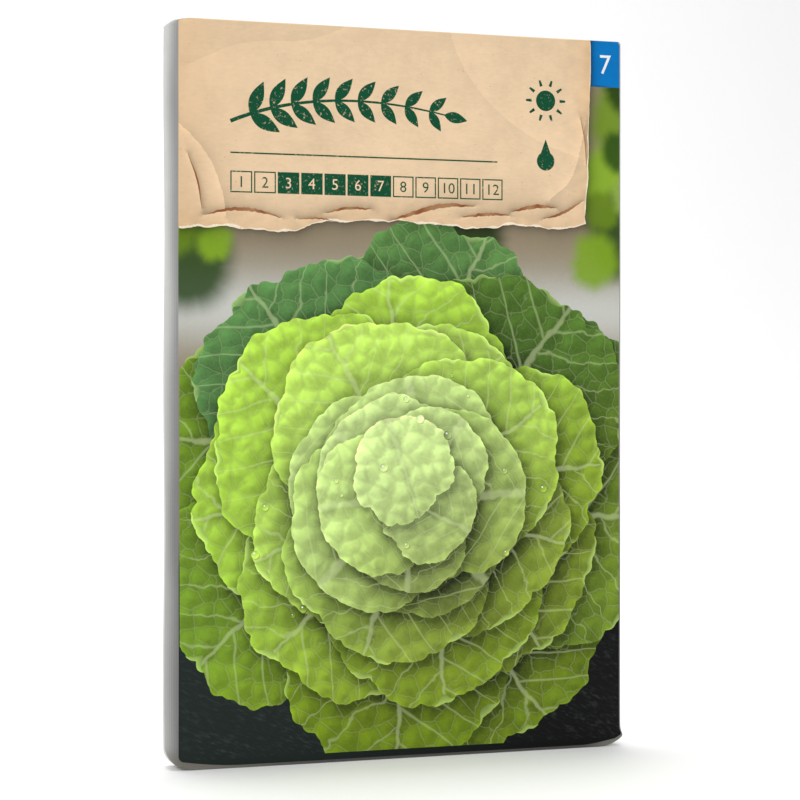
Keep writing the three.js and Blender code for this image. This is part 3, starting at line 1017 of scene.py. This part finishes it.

# The fold grey and the two bottom fold colours are painted shade laid into the bare paper's colour.
BARE_PAPER = tone(208, 208, 205)
FOLD_SHADE_GREY = tone(150, 150, 149)
BOTTOM_FOLD_SHADE = tone(112, 109, 98)
BOTTOM_FOLD_DEEP_SHADE = tone(62, 60, 54)
colours = np.ones((len(faces) * 3, 4))
colours[:, :3] = BARE_PAPER
leaf_places = np.zeros((len(faces) * 3, 3))
corners = vertices[faces]
corners = (corners + (corners.mean(axis=1, keepdims=True) - corners) * PULL_IN).reshape(-1, 3)
for number, (outlines, area_colours, finish) in enumerate(printed_areas):
    chosen = np.nonzero(np.repeat(front_areas == number, 3))[0]
    if len(chosen):
        x, z = corners[chosen, 0], corners[chosen, 2]
        colour, place = area_colours(x, z)
        if finish == PICTURE:
            colour = colour * label_shade(x, z)[:, None]
        colours[chosen, :3] = np.clip(colour, 0, 1)
        leaf_places[chosen] = place
start = len(front_faces) * 3
wrapped = slice(start, start + FRONT_RINGS * band_size * 3)
wrapped_x, wrapped_z = corners[wrapped, 0], np.clip(corners[wrapped, 2], 0, PANEL_HEIGHT)
on_label = (wrapped_z > label_low_at(wrapped_x)) & (wrapped_x < LABEL_RIGHT)
on_tab = (wrapped_z > PANEL_HEIGHT - TAB_TALL) & (wrapped_x >= LABEL_RIGHT)
wrapped_colours = background(wrapped_x, wrapped_z)[0]
wrapped_colours[on_label] = kraft(wrapped_x, wrapped_z)[0][on_label]
wrapped_colours[on_tab] = tab_print(wrapped_x, wrapped_z)[0][on_tab]
colours[wrapped, :3] = wrapped_colours
side_start = wrapped.stop
for number in range(SIDE_RINGS):
    ring = slice(side_start + number * band_size * 3, side_start + (number + 1) * band_size * 3)
    x, z = corners[ring, 0], corners[ring, 2]
    # Painted shade on the side: grey next to the print, fading towards the back along a wandering edge.
    share = (number + 0.5) / SIDE_RINGS + 0.08 * np.sin(z / 13) + 0.05 * np.sin(z / 5.3 + 1)
    # Painted shade that grows darker towards the bottom of the side.
    low = 0.64 + 0.36 * soft_step(z, 30, 140)
    side_colours = blend(FOLD_SHADE_GREY, BARE_PAPER, soft_step(share, 0.05, 0.95)) * low[:, None]
    # Painted shade on the bottom fold, which faces down: darker away from its ends.
    strip = blend(BOTTOM_FOLD_SHADE, BOTTOM_FOLD_DEEP_SHADE, soft_step(x, -50, -15) * soft_step(-x, -53, -45))
    colours[ring, :3] = blend(side_colours, strip, 0.8 * soft_step(-z, -3.5, 0.3))

# Besides the print, this colour holds the bare paper's colour with the painted shade on its sides.
layer = mesh.color_attributes.new("print", "FLOAT_COLOR", "CORNER")
layer.data.foreach_set("color", colours.reshape(-1))
layer = mesh.attributes.new("leaf_place", "FLOAT_VECTOR", "CORNER")
layer.data.foreach_set("vector", leaf_places.reshape(-1))

# The front is unwrapped flat at full scale with its folds beside it, and the back small in the strip left.
FLAT_SPAN = 178
FLAT_CORNER = np.array([half_width + 3.5, BOTTOM_BULGE + 2])
FOLD_STRIP = 0.17
BACK_SCALE = 0.52
BACK_CORNER = (PANEL_WIDTH + 8.5, 4)
unwrapped = mesh.uv_layers.new(name="OFBake")
flat = vertices[:, [0, 2]] + FLAT_CORNER
for number, ids in enumerate(ring_points[1:], 1):
    outward = np.sign(rim_out) * np.minimum(np.abs(rim_out) * 2, 1.0)
    flat[ids] = rim_places + FLAT_CORNER + outward * (number * FOLD_STRIP + 0.05)
back_flat = (vertices[:, [0, 2]] + [half_width, 3]) * BACK_SCALE + BACK_CORNER
flat_corners = flat[faces]
back_start = len(faces) - len(back_faces)
flat_corners[back_start:] = back_flat[faces[back_start:]]
unwrapped.data.foreach_set("uv", (flat_corners / FLAT_SPAN).reshape(-1))
mesh.update()
pouch = add_object("paper_pouch_sheet", mesh)


# The inks and the paper. Object coordinates are in metres, so a scale of 1000 is a millimetre. A field is a
# value that changes over the sheet. Sums with it add the nodes that they need.
class Field:
    def __init__(self, socket):
        self.socket, self.tree = socket, socket.id_data

    def calc(self, operation, *others, clamp=False):
        inputs = dict(enumerate((self, *others)))
        return field(self.tree, "ShaderNodeMath", inputs, operation=operation, use_clamp=clamp)

    def __add__(self, other):
        return self.calc("ADD", other)

    def __sub__(self, other):
        return self.calc("SUBTRACT", other)

    def __mul__(self, other):
        return self.calc("MULTIPLY", other)

    def __truediv__(self, other):
        return self.calc("DIVIDE", other)


def field(tree, kind, inputs, output=0, **settings):
    inputs = {name: getattr(value, "socket", value) for name, value in inputs.items()}
    return Field(put_node(tree, kind, inputs, **settings).outputs[output])


def ramp(value, low, high, low_result=0.0, high_result=1.0):
    inputs = {"Value": value, "From Min": low, "From Max": high, "To Min": low_result, "To Max": high_result}
    return field(value.tree, "ShaderNodeMapRange", inputs, clamp=True)


def mixed(share, low, high, kind="MIX"):
    tree = next(value.tree for value in (share, low, high) if isinstance(value, Field))
    low, high = ((*value, 1) if isinstance(value, np.ndarray) else value for value in (low, high))
    return field(tree, "ShaderNodeMix", {0: share, 6: low, 7: high}, 2, data_type="RGBA", blend_type=kind)


def noise(place, scale, detail=2.0, rough=0.5):
    inputs = {"Vector": place, "Scale": scale, "Detail": detail, "Roughness": rough}
    return field(place.tree, "ShaderNodeTexNoise", inputs)


def uneven(amount, *noise_values):
    return (noise(*noise_values) - 0.5) * amount


def mapped(place, **inputs):
    return field(place.tree, "ShaderNodeMapping", {"Vector": place, **inputs})


def voronoi(place, feature, **inputs):
    settings = {"feature": feature, "voronoi_dimensions": "2D"}
    return field(place.tree, "ShaderNodeTexVoronoi", {"Vector": place, **inputs}, "Distance", **settings)


def brighter(colour, factor):
    grey = field(colour.tree, "ShaderNodeCombineColor", dict.fromkeys(("Red", "Green", "Blue"), factor))
    return mixed(1.0, colour, grey, "MULTIPLY")


def carried(tree, name, output):
    return field(tree, "ShaderNodeAttribute", {}, output, attribute_name=name)


def object_place(tree):
    return field(tree, "ShaderNodeTexCoord", {}, "Object")


def axes_of(vector):
    split = put_node(vector.tree, "ShaderNodeSeparateXYZ", {"Vector": vector.socket})
    return [Field(output) for output in split.outputs]


# The picture: on each leaf a rib, side veins, a net of fine veins and the puckers between them, lit from the
# lamp's side. They follow the place on the leaf that the sheet carries. The slate has slanted grooves.
PUCKER = 4.4
PUCKER_LIT = 0.17
RIB_PALE = tone(222, 236, 178)
SLATE_GROOVE = tone(104, 118, 114)


def picture_colour(place, printed):
    leaf = carried(place.tree, "leaf_place", "Vector")
    leaf_along, leaf_across, rank = axes_of(leaf)
    on_leaf = rank.calc("GREATER_THAN", 0.5)

    sway = uneven(0.2, leaf, 2.6)
    ripple = uneven(0.06, leaf, 9.0)
    along = leaf_along + sway + ripple
    across = sway * 0.6 + (leaf_across + ripple)
    out = across.calc("ABSOLUTE")
    from_rib = out / (along * -0.024 + 0.036)
    rib = ramp(from_rib, 1.25, 0.5)
    side = across.calc("GREATER_THAN", 0.0) * 0.5
    count = (along - out * 0.75) * 3.6 + side
    gap = (count.calc("FRACT") - 0.5).calc("ABSOLUTE")
    vein = ramp(gap / (out * -0.05 + 0.06), 1.25, 0.3)

    x, _, z = axes_of(place)
    wander = uneven(0.5, place, 420)
    cell_x = x * (1000 / PUCKER) + wander + rank * 3.7
    cell_z = z * (1000 / PUCKER) - wander + rank * 1.9
    cell = field(place.tree, "ShaderNodeCombineXYZ", {"X": cell_x, "Y": cell_z})
    near, far = (
        field(place.tree, "ShaderNodeVectorMath", {0: cell, 1: (*LAMP_SIDE * PUCKER_LIT, 0)}, operation=way)
        for way in ("ADD", "SUBTRACT")
    )
    lit = voronoi(near, "SMOOTH_F1", Scale=1.0, Smoothness=0.35)
    lit -= voronoi(far, "SMOOTH_F1", Scale=1.0, Smoothness=0.35)
    net = voronoi(cell, "DISTANCE_TO_EDGE", Scale=1.0)
    fine_net = voronoi(cell, "DISTANCE_TO_EDGE", Scale=2.9)
    lines = rib.calc("MAXIMUM", vein * 0.8)
    lines = lines.calc("MAXIMUM", ramp(net, 0.055, 0.01) * 0.42)
    lines = lines.calc("MAXIMUM", ramp(fine_net, 0.06, 0.0) * 0.16) * on_leaf
    valley = ramp(net, 0.16, 0.0, 0.0, -0.16) + ramp(from_rib, 3.2, 1.2, 0.0, -0.16)
    relief = lit * 0.62 + valley
    level = (relief + uneven(0.45, place, 160, 4.0, 0.6)) * on_leaf + uneven(0.10, place, 1500)
    colour = brighter(printed, level + 1.0)
    colour = mixed(lines * 0.6, colour, mixed(0.5, colour, RIB_PALE))

    slanted = mapped(mapped(place, Rotation=(0, math.radians(-24), 0)), Scale=(0.3, 1, 1))
    grooves = ramp(noise(slanted, 1500, 4.0, 0.6), 0.50, 0.74)
    cleft = ramp(noise(slanted, 330, 3.0, 0.5), 0.28, 0.62)
    slate = rank.calc("MULTIPLY", -1.0, clamp=True)
    return mixed(grooves * cleft * slate * 0.2, colour, SLATE_GROOVE)


# The kraft of the label: clouds, fibres that lie along it, and brown specks.
SPECK_BROWN = tone(150, 104, 66)


def kraft_colour(place, printed):
    fibres = uneven(0.16, mapped(place, Scale=(0.35, 1, 1)), 1500, 3.0, 0.6)
    colour = brighter(printed, uneven(0.34, place, 110, 4.0, 0.6) + fibres + 1.0)
    specks = ramp(noise(place, 1900, 1.0), 0.72, 0.80)
    return mixed(specks * 0.35, colour, SPECK_BROWN)


# The inks on it, clouded, and worn off in small flecks where there is wear.
def ink_colour(place, printed, wear):
    colour = brighter(printed, noise(place, 300, 3.0) * 0.3 + 0.85)
    flecks = ramp(noise(place, 1700, 3.0, 0.65), 0.60, 0.68)
    return mixed(flecks * wear, colour, KRAFT_LIGHT)


# The bare paper, with random clouding over its colour and over the painted shade of its sides.
def bare_colour(place, printed):
    return brighter(printed, uneven(0.16, place, 60, 4.0, 0.6) + uneven(0.16, place, 2200, 4.0, 0.7) + 1.0)


# Each finish has its own colour over the printed one, its gloss, and the paper's fine fibres and cockle.
SATIN = {"Roughness": 0.45, "Specular IOR Level": 0.12}
DULL = {"Roughness": 0.62, "Specular IOR Level": 0.25}


def add_finish(name, gloss, relief, colour_of, **wear):
    material, tree = new_material(name)
    place = object_place(tree)
    colour = colour_of(place, carried(tree, "print", "Color"), **wear)
    height = noise(place, 2600, 4.0, 0.6) * 0.12 + noise(place, 140, 2.0, 0.5)
    bump = field(tree, "ShaderNodeBump", {"Height": height, "Strength": relief, "Distance": 0.0003})
    finish_material(tree, {**gloss, "Base Color": colour.socket, "Normal": bump.socket})
    mesh.materials.append(material)


add_finish("picture_print", SATIN, 0.25, picture_colour)
add_finish("kraft_print", SATIN, 0.25, kraft_colour)
add_finish("worn_ink", SATIN, 0.25, ink_colour, wear=0.6)
add_finish("solid_ink", SATIN, 0.25, ink_colour, wear=0.0)
add_finish("bare_paper", DULL, 0.35, bare_colour)

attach(pouch, "root")
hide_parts("paper_pouch")


# The seeds: loose dry cabbage-family seeds of about 2 mm, in a low heap on the bottom fold inside the pouch.
# Each is an uneven ball with a fine pitted coat, a dent where it sat in the pod and a shallow furrow by it.
SEED_DENT = 0.13
SEED_FURROW = 0.05
SEED_UNEVEN = 0.05
SEED_BROWN = tone(58, 34, 26)
SEED_WARM = tone(92, 58, 40)
SEED_BLUISH = tone(40, 30, 34)
seed_names = sorted(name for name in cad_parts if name.startswith("seed_"))
seed_coat, tree = new_material("seed_coat")
place = object_place(tree)
coat = mixed(ramp(noise(place, 900, 3.0), 0.35, 0.7), SEED_BROWN, SEED_WARM)
coat = mixed(field(tree, "ShaderNodeObjectInfo", {}, "Random") * 0.5, coat, SEED_BLUISH)
pits = field(tree, "ShaderNodeTexVoronoi", {"Vector": place, "Scale": 9000}, "Distance")
bump = field(tree, "ShaderNodeBump", {"Height": pits, "Strength": 0.5, "Distance": 0.00003}, invert=True)
finish_material(tree, {"Base Color": coat.socket, "Roughness": 0.5, "Normal": bump.socket})

for number, name in enumerate(seed_names):
    low, high = (np.array(corner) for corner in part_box(name))
    middle, radius = (low + high) / 2, (high - low).mean() / 2
    shape = bmesh.new()
    bmesh.ops.create_icosphere(shape, subdivisions=4, radius=1)
    seed_draw = np.random.default_rng(500 + number)
    lobes, dent = seed_draw.normal(size=(5, 3)), seed_draw.normal(size=3)
    dent /= np.linalg.norm(dent)
    furrow = np.cross(dent, lobes[0])
    furrow /= np.linalg.norm(furrow)
    for point in shape.verts:
        way = np.array(point.co)
        reach = 1 + SEED_UNEVEN * np.sin(lobes @ way * 1.6).mean()
        toward = way @ dent
        reach -= SEED_DENT * math.exp(-(1 - toward) / 0.03)
        reach -= SEED_FURROW * math.exp(-((way @ furrow) / 0.09) ** 2) * max(0, toward)
        point.co = Vector(way * reach * radius + middle)
    seed_mesh = bpy.data.meshes.new(f"{name}_coat")
    shape.to_mesh(seed_mesh)
    shape.free()
    seed_mesh.polygons.foreach_set("use_smooth", [True] * len(seed_mesh.polygons))
    seed_mesh.materials.append(seed_coat)
    seed = add_object(f"{name}_coat", seed_mesh)
    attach(seed, "root")
    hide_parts(name)
